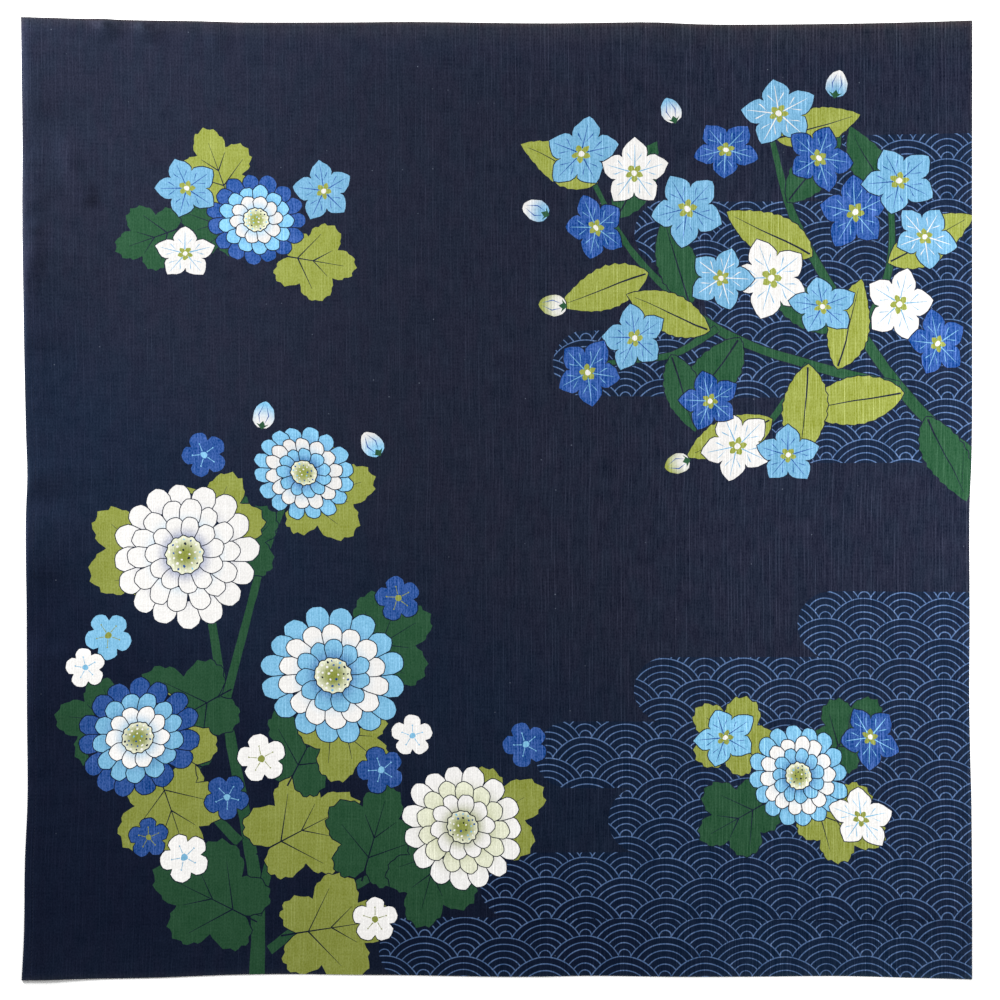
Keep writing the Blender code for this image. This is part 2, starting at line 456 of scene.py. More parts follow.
def layBud(at, size, turn, ink, shadeInk):
    # A drop with two ribs in a small cup
    t = around(18)
    drop = np.stack([0.78 * np.sin(t) * (1 - 0.18 * np.cos(t)), np.cos(t)], 1) * size
    lay(drop, ink, at, turn, fadeTo=shadeInk, fadeFrom=(0, -size), reach=size * 1.9, rim=stencil["rim"])
    for side in (-1, 1):
        rib = np.array([[side * 0.12, -0.8], [side * 0.42, 0.0], [side * 0.06, 0.86], [side * 0.34, 0.0]])
        lay(rib * size, "royal", at, turn)
    cup = np.array([[-0.5, -0.62], [0, -1.1], [0.5, -0.62], [0.22, -0.72], [0, -0.45], [-0.22, -0.72]])
    lay(cup * size, "green", at, turn)


def layLobedLeaf(at, length, turn, ink):
    # A lobed leaf with five veins: the way of each, and where it starts and how long it is as shares
    lay(lobedOutline(length), ink, at, turn, rim=stencil["rim"])
    for way, foot, run in ((0, 0.02, 0.82), (55, 0.26, 0.42), (-55, 0.26, 0.42),
                           (38, 0.46, 0.26), (-38, 0.46, 0.26)):
        vein = taper(0.7 if way else 0.9, 0, run * length)
        lay(turned(vein, way) + (0, foot * length), "ground", at, turn)


def layLanceLeaf(at, length, turn, ink):
    # A toothed leaf with a midrib that thins out towards its tip
    bend = rng.uniform(-0.12, 0.12)
    lay(lanceOutline(length, length * 0.46, 10, 0.10, bend), ink, at, turn, rim=stencil["rim"])
    a = np.linspace(0.03, 0.9, 7)
    right, left = leafSides(bend, length, a, 0.9 * (1 - a) + 0.15)
    lay(np.vstack([right, left[::-1]]), "ground", at, turn)


# Rings of a chrysanthemum head, outside in: share of its radius, petals, ink of the tip and of the foot
whiteHead = ((1.0, 16, "white", "royal"), (0.76, 14, "white", "azure"), (0.53, 11, "white", "royal"))
skyHead = ((1.0, 16, "azure", "royal"), (0.76, 14, "white", "azure"), (0.53, 11, "azure", "royal"))
royalHead = ((1.0, 15, "royal", "royal"), (0.76, 13, "azure", "royal"), (0.53, 10, "white", "azure"))
limeHead = ((1.0, 15, "white", "lime"), (0.76, 13, "cream", "lime"), (0.53, 10, "white", "lime"))

# The tables below are in millimetres, from the cloth's middle. Mist bars: height and start of each.
mistBars = {"half": 36.6, "end": 700, "rows": (
    (366, 330), (294, 150), (222, 226), (150, 60), (78, 300), (-138, 330), (-210, 150), (-282, 40),
    (-354, 120), (-426, -20), (-498, -130),
)}
# Stems: points along each and its width at each. Leaves: place, length, turn and ink. Heads: place, radius,
# turn, rings, squash and lean. Small flowers and buds: place, size, turn and two inks.
autumnStems = (
    (((-262, -560), (-266, -430), (-290, -300), (-318, -120)), (17, 15, 12, 9)),
    (((-266, -460), (-235, -350), (-190, -240)), (12, 10, 8)),
    (((-285, -380), (-345, -320), (-392, -280)), (11, 9, 7)),
    (((-250, -500), (-160, -430), (-50, -375)), (11, 9, 8)),
    (((-300, -220), (-262, -80), (-222, 30)), (10, 8, 6)),
)
autumnLeaves = (
    ((-292, -210), 128, 118, "green"), ((-268, -395), 126, -62, "lime"), ((-318, -300), 124, 68, "lime"),
    ((-262, -470), 128, 62, "green"), ((-240, -485), 126, -80, "lime"), ((-150, -425), 112, -15, "green"),
    ((-235, -320), 108, -28, "green"), ((-380, -290), 122, -160, "lime"), ((-345, -100), 128, 48, "lime"),
    ((-175, -190), 118, -58, "green"), ((-60, -375), 118, -62, "lime"), ((-280, -90), 108, 10, "green"),
    ((-390, -250), 100, 82, "green"), ((-240, -10), 110, -72, "lime"), ((-205, -230), 106, -130, "lime"),
    ((-60, -365), 108, 165, "green"), ((-330, -70), 106, -20, "lime"),
)
autumnHeads = (
    ((-215, 28), 58, 9, skyHead, 0.86, 30), ((-345, -62), 81, 4, whiteHead, 1.0, 0),
    ((-398, -262), 70, 0, royalHead, 0.9, -40), ((-182, -196), 80, 14, skyHead, 0.94, 20),
    ((-40, -362), 71, 8, limeHead, 0.9, 60),
)
plums = (
    ((-262, -288), 27, 10, "white", "lime"), ((-300, -330), 25, 40, "royal", "azure"),
    ((-130, -300), 26, 20, "royal", "azure"), ((-95, -262), 23, 0, "white", "azure"),
    ((-110, -110), 25, 12, "royal", "lime"), ((-430, -150), 26, 33, "azure", "lime"),
    ((-455, -185), 22, 10, "white", "azure"), ((30, -270), 25, 20, "royal", "azure"),
    ((-325, 48), 25, 20, "royal", "azure"), ((-135, -465), 25, 0, "white", "lime"),
    ((-345, -395), 27, 25, "white", "azure"), ((-385, -372), 22, 5, "royal", "lime"),
)
bellStems = (
    (((560, 20), (470, 90), (400, 180), (330, 300), (300, 400)), (15, 13, 11, 9, 6)),
    (((440, 125), (340, 150), (240, 190), (150, 270), (100, 360)), (11, 10, 9, 7, 5)),
    (((400, 180), (430, 260), (430, 345)), (9, 8, 6)),
    (((240, 190), (190, 160), (120, 150)), (8, 7, 5)),
    (((340, 150), (300, 90), (262, 62)), (8, 7, 5)),
)
bellLeaves = (
    ((445, 118), 118, 98, "lime"), ((395, 190), 108, 62, "green"), ((340, 150), 110, 178, "lime"),
    ((345, 270), 106, 58, "lime"), ((265, 180), 108, 150, "green"), ((210, 215), 100, 12, "green"),
    ((470, 92), 104, -160, "green"), ((428, 262), 106, -66, "lime"), ((165, 250), 104, 108, "lime"),
    ((318, 330), 96, -38, "green"), ((300, 90), 102, 120, "lime"), ((232, 188), 98, 70, "lime"),
    ((130, 310), 96, -30, "green"), ((428, 330), 92, 20, "green"), ((372, 145), 102, -20, "lime"),
    ((110, 350), 94, 70, "lime"), ((305, 400), 96, -75, "lime"), ((190, 160), 88, 200, "green"),
)
bellflowers = (
    ((308, 428), 42, 10, "sky", "white"), ((250, 388), 38, 34, "royal", "sky"),
    ((352, 378), 40, 50, "royal", "sky"), ((208, 322), 43, 30, "sky", "royal"),
    ((150, 360), 38, 0, "white", "sky"), ((92, 382), 43, -8, "sky", "royal"),
    ((108, 300), 38, 20, "royal", "sky"), ((392, 318), 42, 5, "royal", "sky"),
    ((440, 352), 42, 24, "sky", "royal"), ((468, 290), 38, 40, "sky", "white"),
    ((300, 246), 46, 20, "white", "sky"), ((356, 214), 38, 8, "sky", "royal"),
    ((245, 246), 36, -20, "sky", "white"), ((440, 216), 42, -14, "white", "sky"),
    ((482, 172), 37, 12, "royal", "sky"), ((150, 178), 40, 12, "sky", "royal"),
    ((98, 140), 38, 44, "royal", "sky"), ((262, 60), 42, 26, "white", "sky"),
    ((318, 50), 36, 0, "sky", "royal"), ((232, 110), 35, 15, "royal", "sky"),
)
buds = (
    ((-258, 92), 15, -10, "white", "azure"), ((-140, 60), 15, 35, "azure", "white"),
    ((42, 320), 15, 70, "sky", "white"), ((60, 215), 15, 85, "white", "lime"),
    ((372, 460), 15, -10, "sky", "white"), ((190, 430), 14, 20, "white", "sky"),
    ((196, 40), 14, 110, "white", "lime"),
)
mistLeaves = (
    ((-272, 290), 84, 70, "green"), ((-242, 270), 89, -100, "lime"), ((-292, 325), 85, 20, "lime"),
    ((-342, 300), 78, 110, "green"), ((300, -330), 92, 120, "green"), ((330, -340), 97, -110, "lime"),
    ((360, -290), 88, -40, "green"), ((290, -290), 93, 50, "lime"),
)
mistHeads = (((-264, 308), 54, 5, royalHead, 0.92, 10), ((330, -305), 58, 5, skyHead, 0.94, 70))
mistBells = (
    ((-340, 342), 36, 20, "sky", "royal"), ((-342, 270), 34, 0, "white", "sky"),
    ((-190, 340), 35, 10, "sky", "royal"), ((250, -262), 37, 20, "azure", "royal"),
    ((398, -352), 38, 0, "white", "azure"), ((410, -262), 37, 30, "royal", "azure"),
)


def layPrint():
    # From the farthest layer to the nearest
    for row in mistBars["rows"]:
        lay(mistBar(*row), "mist", waves=1)
    for stems, leaves, layLeaf in ((autumnStems, autumnLeaves, layLobedLeaf),
                                   (bellStems, bellLeaves, layLanceLeaf)):
        for points, widths in stems:
            lay(stemOutline(points, widths), "green", rim=1.0)
        for row in leaves:
            layLeaf(*row)
    for rows, layOne in ((mistLeaves, layLobedLeaf), (buds, layBud),
                         (autumnHeads + mistHeads, layChrysanthemum), (plums, layPlum)):
        for row in rows:
            layOne(*row)
    for row in bellflowers + mistBells:
        layBellflower(*row, squash=rng.uniform(0.82, 1.0), lean=rng.uniform(0, 180))


# From the flat print to one cloth mesh
netting = {
    "body": 21 * mm,  # spacing of the points that carry the cloth's form
    "fine": 0.26,  # the same over the ripples, as a share of their half width
    "hemRows": 9 * mm,
    # millimetres from the edge
    "hemColumns": (1.2, 2.4, 4.2, 6.4, 8.2, 9.4, 10.6, 12.2, 14.4, 17.6, 22.0, 28.0),
}


def crossings(columns, rows):
    # Every crossing of two sets of lines
    return np.stack(np.meshgrid(columns, rows), -1).reshape(-1, 2)


def netPoints():
    # An even net over the body, a finer one over each ripple, and columns that follow the section of the hems
    width, height, fold = cloth["width"], cloth["height"], cloth["foldLine"]
    fromEdge = np.array(netting["hemColumns"]) * mm
    edge = fromEdge[-1]
    rows = np.linspace(0, height, round(height / netting["hemRows"]) + 1)
    hems = crossings(np.concatenate([fromEdge, width - fromEdge]), rows[1:-1])
    columns = np.linspace(edge, width - edge, round((width - 2 * edge) / netting["body"]) + 1)
    levels = np.linspace(0, height, round(height / netting["body"]) + 1)
    body = crossings(columns[1:-1], levels[1:-1])
    fine = []
    for x0, y0, x1, y1, halfWidth in np.array(ripples)[:, :5] * mm:
        step = netting["fine"] * halfWidth
        xs = np.arange(min(x0, x1) - halfWidth * 1.1, max(x0, x1) + halfWidth * 1.1, step)
        ys = np.arange(min(y0, y1) - halfWidth, max(y0, y1) + halfWidth, step)
        fine.append(crossings(xs, ys))
        x, y = body.T
        body = body[(x < xs[0]) | (x > xs[-1]) | (y < ys[0]) | (y > ys[-1])]
    fine = np.vstack(fine)
    x, y = fine.T
    fine = fine[(x > edge) & (x < width - edge) & (y > mm) & (y < height - mm)]
    folds = [np.stack([np.full(len(rows), x), rows], 1) for x in (fold, width - fold)]
    ends = [np.stack([columns, np.full(len(columns), y)], 1) for y in (0, height)]
    return np.vstack([hems, body, fine, *folds, *ends])


def flatToCloth(flat):
    # Print millimetres, right and up from the middle, to metres across and down from the top left corner
    return flat[:, 0] * mm + cloth["width"] / 2, cloth["height"] / 2 - flat[:, 1] * mm


def withZero(points):
    # A third column of zeros
    return np.pad(points, ((0, 0), (0, 1)))


def asVectors(points):
    return [Vector(p) for p in points.tolist()]


def sidesOf(triangles, count):
    # Every side with its triangle, sorted so that the two triangles of one side stand next to each other
    sides = np.concatenate([triangles[:, [0, 1]], triangles[:, [1, 2]], triangles[:, [2, 0]]])
    owner = np.tile(np.arange(len(triangles)), 3)
    key = sides.min(1).astype(np.int64) * count + sides.max(1)
    order = np.argsort(key, kind="stable")
    return sides[order], owner[order], key[order]


def spreadPrint():
    # Lays every outline into one net of triangles, keeps only the lines where the topmost ink changes, and
    # nets the cloth again along them. Returns flat points, triangles and the print area on top of each.
    right, up = cloth["width"] / 2 / mm - cloth["foldLine"] / mm, cloth["height"] / 2 / mm
    outlines = [np.array([[-right, -up], [right, -up], [right, up], [-right, up]])]
    outlines += [area[0] if twiceArea(area[0]) > 0 else area[0][::-1] for area in printAreas]
    starts = np.cumsum([0] + [len(outline) for outline in outlines])
    loops = [list(range(a, b)) for a, b in zip(starts[:-1], starts[1:])]
    points, _, triangles, _, _, above = delaunay_2d_cdt(asVectors(np.vstack(outlines)), [], loops, 0, 1e-4)
    points, triangles = np.array(points), np.array(triangles)
    top = np.array([max(areas) if 0 in areas else -1 for areas in above])
    sides, owner, key = sidesOf(triangles, len(points))
    pair = np.flatnonzero(key[1:] == key[:-1])
    lines = sides[pair[top[owner[pair]] != top[owner[pair + 1]]]]

    used, lines = np.unique(lines, return_inverse=True)
    across, down = netPoints().T
    net = np.stack([(across - cloth["width"] / 2) / mm, (cloth["height"] / 2 - down) / mm], 1)
    start = asVectors(np.vstack([points[used], net]))
    flat, _, cut, _, _, _ = delaunay_2d_cdt(start, lines.reshape(-1, 2).tolist(), [], 0, 1e-4)
    flat, cut = np.array(flat), np.array(cut)

    under = BVHTree.FromPolygons(asVectors(withZero(points)), triangles.tolist())
    found = np.array([under.find_nearest(middle)[2] for middle in asVectors(withZero(flat[cut].mean(1)))])
    return flat, cut, np.maximum(top[found], 0)


def hemSection():
    # From the end of the face round the outer fold, in under the hem, round the inner fold and back to the
    # raw edge. Both turned layers bend at the same distances, so that neither cuts through the other where
    # the hem tilts. Returns the distance from the side, the height under the face and the length used.
    pitch, fold, turn = cloth["layerPitch"], cloth["foldLine"], cloth["hemWidth"]
    a = np.radians(np.linspace(90, 270, 6))
    outer = np.stack([fold + pitch * np.cos(a), pitch * (np.sin(a) - 1)], 1)
    a = np.radians(np.linspace(-90, 90, 5))
    inner = np.stack([turn + pitch / 2 * np.cos(a), pitch * (np.sin(a) / 2 - 1.5)], 1)
    between = fold + (turn - fold) * np.array([1 / 3, 2 / 3])
    lowest = np.stack([between, 0 * between - 2 * pitch], 1)
    section = np.vstack([outer, lowest, inner, lowest[::-1] + [0, pitch], [[cloth["rawEdge"], -pitch]]])
    length = np.append(0, np.cumsum(np.hypot(*np.diff(section, axis=0).T)))
    return section[:, 0], section[:, 1], length


def makeCloth():
    # The middle surface first: the printed face, and the turned strip along each side
    flat, triangles, top = spreadPrint()
    across, down = flatToCloth(flat)
    middle, normal = facePoints(across, down), faceNormals(across, down)
    yarn = np.stack([across, down], 1)
    group = np.zeros(len(triangles), int)  # 0 is the face, 1 and 2 the turned strips
    fromSide, under, length = hemSection()
    for side, line in enumerate((cloth["foldLine"], cloth["width"] - cloth["foldLine"])):
        column = np.flatnonzero(np.abs(across - line) < 1e-6)
        column = column[np.argsort(down[column])]
        rows = down[column]
        inward = fromSide[:, None] + 0 * rows
        strip = lowestPoints(cloth["width"] - inward if side else inward, rows + 0 * inward)
        strip[..., 2] += hemLift(across[column], rows) + under[:, None]
        outward = np.cross(np.gradient(strip, axis=0), np.gradient(strip, axis=1)) * (-1 if side else 1)
        outward /= np.linalg.norm(outward, axis=-1, keepdims=True)
        ids = len(middle) + np.arange((len(length) - 1) * len(rows)).reshape(-1, len(rows))
        ids = np.vstack([column, ids])
        middle = np.vstack([middle, strip[1:].reshape(-1, 3)])
        normal = np.vstack([normal, outward[1:].reshape(-1, 3)])
        run = line + length * (1 if side else -1)
        yarn = np.vstack([yarn, np.stack(np.broadcast_arrays(run[1:, None], rows), -1).reshape(-1, 2)])
        a, b, c, d = ids[:-1, :-1].ravel(), ids[1:, :-1].ravel(), ids[1:, 1:].ravel(), ids[:-1, 1:].ravel()
        halves = np.concatenate([np.stack([a, b, c], 1), np.stack([a, c, d], 1)])
        triangles = np.vstack([triangles, halves[:, ::-1] if side else halves])
        top = np.append(top, np.zeros(len(halves), int))
        group = np.append(group, np.full(len(halves), 1 + side))

    # Then the printed skin, the back skin turned over, and a rim round every open side
    count = len(middle)
    half = cloth["thickness"] / 2
    sides, owner, key = sidesOf(triangles, count)
    lone = np.append(key[1:] != key[:-1], True) & np.append(True, key[1:] != key[:-1])
    a, b = sides[lone].T
    rims = np.concatenate([np.stack([a + count, b + count, b], 1), np.stack([a + count, b, a], 1)])
    none = np.zeros(len(rims), int)
    return {
        "points": np.vstack([middle + half * normal, middle - half * normal]),
        "normals": np.vstack([normal, -normal]),
        "faces": np.vstack([triangles, triangles[:, ::-1] + count, rims]),
        "area": np.concatenate([top, top, none]),
        "group": np.concatenate([group, group + 3, none + 6]),
        "yarn": np.vstack([yarn, yarn]),
        "printed": np.concatenate([0 * top + 1, 0 * top, none + 0.5]),
        "flat": np.pad(flat, ((0, count - len(flat)), (0, 0))),
    }


def intoScene(name, data):
    made = bpy.data.objects.new(name, data)
    bpy.context.scene.collection.objects.link(made)
    return made


def newObject(name, points, faces):
    # Arrays straight into a mesh of triangles or quads
    mesh = bpy.data.meshes.new(name)
    mesh.vertices.add(len(points))
    mesh.vertices.foreach_set("co", np.ascontiguousarray(points, dtype=np.float32).ravel())
    mesh.loops.add(faces.size)
    mesh.loops.foreach_set("vertex_index", np.ascontiguousarray(faces, dtype=np.int32).ravel())
    mesh.polygons.add(len(faces))
    mesh.polygons.foreach_set("loop_start", np.arange(0, faces.size, faces.shape[1], dtype=np.int32))
    mesh.update(calc_edges=True)
    mesh.validate()
    return intoScene(name, mesh)


def addAttribute(mesh, name, domain, values):
    # A colour of four numbers or a vector of three, one row of values for each point or corner
    kind = "color" if values.shape[1] == 4 else "vector"
    attribute = mesh.attributes.new(name, "FLOAT_" + kind.upper(), domain)
    attribute.data.foreach_set(kind, np.ascontiguousarray(values, dtype=np.float32).ravel())


def inkColumns(names, corner, liftShare):
    # Reflectance, raised by the painted lift of the pale inks, and slub strength: four numbers for each
    # corner
    rows = np.array([[*inks[name][0], inks[name][3], inks[name][1]] for name in names])[corner]
    return np.hstack([rows[:, :3] * (1 + rows[:, 3:4] * liftShare[:, None]), rows[:, 4:]])


# Room on the bake map, from its foot up: the back, the bands of the turned strips, the rims and the face
bakeRoom = {"back": 0.19, "strips": 0.194, "band": 0.005, "inBand": 0.16, "rim": 0.2145, "inRim": 0.002,
            "face": 0.22}


def bakeCoords(build):
    # A map that gives the printed face most of its room; the back is pressed together up and down, and the
    # turned strips and the rims lie in thin bands between the two
    across, down = build["yarn"][build["faces"].ravel()].T
    group = np.repeat(build["group"], 3)
    u, v = across / cloth["width"], 1 - down / cloth["height"]
    beyond = cloth["foldLine"] - toSide(across)
    coords = np.stack([u, bakeRoom["face"] + (1 - bakeRoom["face"]) * v], 1)
    coords[group == 3] = np.stack([u, bakeRoom["back"] * v], 1)[group == 3]
    for band, strip in enumerate((1, 2, 4, 5)):
        foot = bakeRoom["strips"] + bakeRoom["band"] * band
        coords[group == strip] = np.stack([v, foot + beyond * bakeRoom["inBand"]], 1)[group == strip]
    coords[group == 6] = np.stack([u, bakeRoom["rim"] + bakeRoom["inRim"] * v], 1)[group == 6]
    return np.clip(coords, 0, 1)


def dressCloth(build):
    # The mesh with its inks, its fades and the run of its yarns
    clothSheet = newObject("clothSheet", build["points"], build["faces"])
    mesh = clothSheet.data
    bare = (None, "ground", "ground", (0, 0), 1.0, 0)
    _, names, fadeNames, centres, reaches, waves = zip(bare, *printAreas)
    dyed = np.array([inks[name][2] for name in names])
    corners, area = build["faces"].ravel(), np.repeat(build["area"], 3)
    flat = np.vstack([build["flat"], build["flat"]])[corners]
    fade = (flat - np.array(centres)[area]) / np.array(reaches)[area, None]
    across, down = build["yarn"][corners].T
    # Painted lift of the pale inks, greater down the cloth and to the left, where the lamps give less light
    liftShare = np.maximum(paintedLift["down"] * down - paintedLift["across"] * across - paintedLift["less"], 0)
    makeup = np.stack([np.array(waves)[area], dyed[area], np.repeat(build["printed"], 3)], 1)
    addAttribute(mesh, "ink", "CORNER", inkColumns(names, area, liftShare))
    addAttribute(mesh, "fadeInk", "CORNER", inkColumns(fadeNames, area, liftShare))
    addAttribute(mesh, "fade", "CORNER", withZero(fade))
    addAttribute(mesh, "makeup", "CORNER", makeup)
    addAttribute(mesh, "yarn", "POINT", withZero(build["yarn"]))
    bakeMap = mesh.uv_layers.new(name="OFBake")
    bakeMap.uv.foreach_set("vector", bakeCoords(build).astype(np.float32).ravel())
    mesh.shade_smooth()
    mesh.normals_split_custom_set_from_vertices(build["normals"].astype(np.float32).tolist())
    return clothSheet


# Stitches along the two hems, a little uneven along and across
stitching = {"pitch": 3.6 * mm, "length": 2.7 * mm, "width": 0.48 * mm, "height": 0.08 * mm,
             "strayAlong": 0.15 * mm, "strayAcross": 0.12 * mm, "proud": 0.01 * mm}


def makeStitches(name, under):
    # Each stitch is a low ridge of thread: five stations along it, each a ring of six points
    width, line = cloth["width"], cloth["stitchLine"]
    rows = np.arange(stitching["pitch"], cloth["height"] - stitching["pitch"] / 2, stitching["pitch"])
    rows = rows + rng.uniform(-1, 1, rows.shape) * stitching["strayAlong"]
    centreX = np.concatenate([np.full(len(rows), line), np.full(len(rows), width - line)])
    centreX = centreX + rng.uniform(-1, 1, centreX.shape) * stitching["strayAcross"]
    centreY = np.tile(rows, 2)
    share = np.linspace(-1, 1, 5)[:, None]
    swell = np.sqrt(1 - share**2 * 0.86)
    sideways = np.cos(around(6)) * swell * stitching["width"] / 2
    upward = np.sin(around(6)) * swell * stitching["height"] / 2
    x = centreX[:, None, None] + sideways
    y = centreY[:, None, None] + share * stitching["length"] / 2 + 0 * sideways
    surface = lowestPoints(x, y) if under else facePoints(x, y)
    out = np.array([0, 0, 1.0]) if under else faceNormals(x, y)
    offset = (-1 if under else 1) * (cloth["thickness"] / 2 + stitching["proud"])
    points = surface + out * (offset + upward)[..., None]
    points[..., 0], points[..., 1] = place(x, y)
    # Quads round the ridge, and a fan at either end
    count, stations, ring = x.shape
    base = np.arange(count)[:, None, None] * stations * ring
    s, r = np.meshgrid(np.arange(stations - 1), np.arange(ring), indexing="ij")
    after = (r + 1) % ring
    quad = np.stack([s * ring + r, s * ring + after, (s + 1) * ring + after, (s + 1) * ring + r], -1)
    quads = (base[..., None] + quad).reshape(-1, 4)
    fan = np.stack([np.zeros(ring - 2, int), np.arange(1, ring - 1), np.arange(2, ring)], 1)
    ends = [(base + fan[:, ::-1]).reshape(-1, 3), (base + (stations - 1) * ring + fan).reshape(-1, 3)]
    faces = np.vstack([quads[:, [0, 1, 2]], quads[:, [0, 2, 3]], *ends])
    made = newObject(name, points.reshape(-1, 3), faces)
    made.data.shade_smooth()
    return made


# Materials
weave = {
    # Each layer of yarn marks: how often it changes across and down the cloth, per metre, its share, and how
    # many finer octaves it has. The first two are slubs, which stand out more towards the right, partly as
    # painted shading of their ribs under a raking light.
    "layers": ((950, 9, 0.24, 0), (900, 60, 0.42, 0), (70, 1.5, 0.05, 0), (24, 420, 0.16, 0),
               (660, 440, 0.60, 0), (60, 60, 0.34, 3)),
    "slubs": (0.75, 1.7),  # strength of the slubs at the left and at the right
    "threads": 262,  # slub yarns to the metre
    "threadShare": 0.30,
    "gain": 2.2,  # of every mark
    "grey": 0.45,  # share of grey in what a slub adds
    "bump": 0.25,
    "bumpHeight": 0.12 * mm,
}
# Pale flecks of undyed fibre: cells to the metre, share without a fleck, core and rim as shares of a cell
flecks = {"cells": 60, "without": 0.96, "core": 0.015, "rim": 0.055, "colour": (0.060, 0.072, 0.098)}
back = {"share": 0.58, "colour": (0.060, 0.072, 0.105)}  # how thinly the print shows there, and the bare back
gloss = {"cloth": (0.9, 0.05), "thread": (0.8, 0.05), "floor": (0.9, 0.1)}  # roughness and specular level
threadDye = ((0.0070, 0.0094, 0.0200), (0.0105, 0.0138, 0.0270))
plain = (1.0, 1.0, 1.0)
seigaiha = {"radius": 44.0, "rings": 6, "line": 1.25, "wobble": 1.8, "ink": (0.056, 0.100, 0.202)}
# The ground against its own colour: first cooler, then deeper, towards the lower left.
# Each step has a slant across the cloth, the metres over which it comes in, and its tint.
lowerLeftSteps = {"cool": (0.70, 0.20, 0.42, (0.62, 0.88, 1.02)), "deep": (0.60, 0.52, 0.66, (0.62, 0.62, 0.74))}
# The ground is a little deeper in the middle: distance from the cloth's middle line at which that starts to
# fade, where it is gone, its strength, and how far down the cloth it is all there
middleDeeper = {"near": 0.10, "far": 0.29, "strength": 0.86, "allThere": 0.09}
# The paler tone along the top and bottom edges, and the paler last millimetres of each edge. Both grow
# wider at the top edge towards the right, by so much for each metre.
selvedge = {"run": 18 * mm, "widening": 0.045, "tint": (1.66, 1.44, 1.13),
            "bottomRun": 70 * mm, "bottomTint": (1.32, 1.25, 1.14)}
edgeTints = {"sideRun": 9 * mm, "sideTint": (1.65, 1.42, 1.15), "lowRight": (1.38, 1.34, 1.26),
        "topRun": 3 * mm, "topWidening": 0.008, "bottomRun": 9 * mm, "endTint": (2.4, 1.85, 1.25)}


class Wiring:
    # A new material, and short hands for building its node tree
    def __init__(self, name, roughness, specular):
        self.material = bpy.data.materials.new(name)
        self.material.use_nodes = True
        self.tree = self.material.node_tree
        self.shader = self.tree.nodes["Principled BSDF"]
        self.shader.inputs["Roughness"].default_value = roughness
        self.shader.inputs["Specular IOR Level"].default_value = specular

    def node(self, kind, **settings):
        made = self.tree.nodes.new(kind)
        for key, value in settings.items():
            setattr(made, key, value)
        return made

    def join(self, value, socket):
        if isinstance(value, bpy.types.NodeSocket):
            self.tree.links.new(value, socket)
        else:
            socket.default_value = value

    def fed(self, made, values):
        # A node with its first inputs joined to the values
        for value, socket in zip(values, made.inputs):
            self.join(value, socket)
        return made

    def math(self, operation, *values):
        return self.fed(self.node("ShaderNodeMath", operation=operation), values).outputs[0]

    def plus(self, a, b):
        return self.math("ADD", a, b)

    def less(self, a, b):
        return self.math("SUBTRACT", a, b)

    def times(self, a, b):
        return self.math("MULTIPLY", a, b)

    def power(self, a, b):
        return self.math("POWER", a, b)

    def vector(self, operation, *values):
        made = self.fed(self.node("ShaderNodeVectorMath", operation=operation), values)
        return made.outputs["Value" if operation in ("LENGTH", "DOT_PRODUCT") else "Vector"]

    def scaled(self, vector, by):
        return self.vector("MULTIPLY", vector, by)

    def attribute(self, name):
        return self.node("ShaderNodeAttribute", attribute_name=name)

    def axes(self, vector):
        return self.fed(self.node("ShaderNodeSeparateXYZ"), [vector]).outputs

    def noise(self, vector, scale=1.0, detail=1.0, output="Fac"):
        made = self.node("ShaderNodeTexNoise", noise_dimensions="2D")
        made.inputs["Scale"].default_value = scale
        made.inputs["Detail"].default_value = detail
        self.join(vector, made.inputs["Vector"])
        return made.outputs[output]

    def cells(self, socket, place, scale, randomness=1.0):
        # Distance from the middle of the nearest cell, and the parts of a random colour of its own
        made = self.node("ShaderNodeTexVoronoi", voronoi_dimensions="1D" if socket == "W" else "2D")
        made.inputs["Scale"].default_value = scale
        made.inputs["Randomness"].default_value = randomness
        self.join(place, made.inputs[socket])
        parts = self.fed(self.node("ShaderNodeSeparateColor"), [made.outputs["Color"]])
        return made.outputs["Distance"], parts.outputs

    def mix(self, share, a, b):
        made = self.node("ShaderNodeMix", data_type="RGBA", clamp_result=False)
        self.join(share, made.inputs["Factor"])
        for value, key in ((a, "A"), (b, "B")):
            self.join(value if isinstance(value, bpy.types.NodeSocket) else (*value, 1), made.inputs[key])
        return made.outputs["Result"]

    def tinted(self, colour, share, tint):
        # The colour times a tint, by a share
        return self.scaled(colour, self.mix(share, plain, tint))

    def ramp(self, value, low, high, toLow=0.0, toHigh=1.0, smooth=True):
        made = self.node("ShaderNodeMapRange", interpolation_type="SMOOTHSTEP" if smooth else "LINEAR")
        for key, number in zip(("From Min", "From Max", "To Min", "To Max"), (low, high, toLow, toHigh)):
            made.inputs[key].default_value = number
        self.join(value, made.inputs["Value"])
        return made.outputs["Result"]


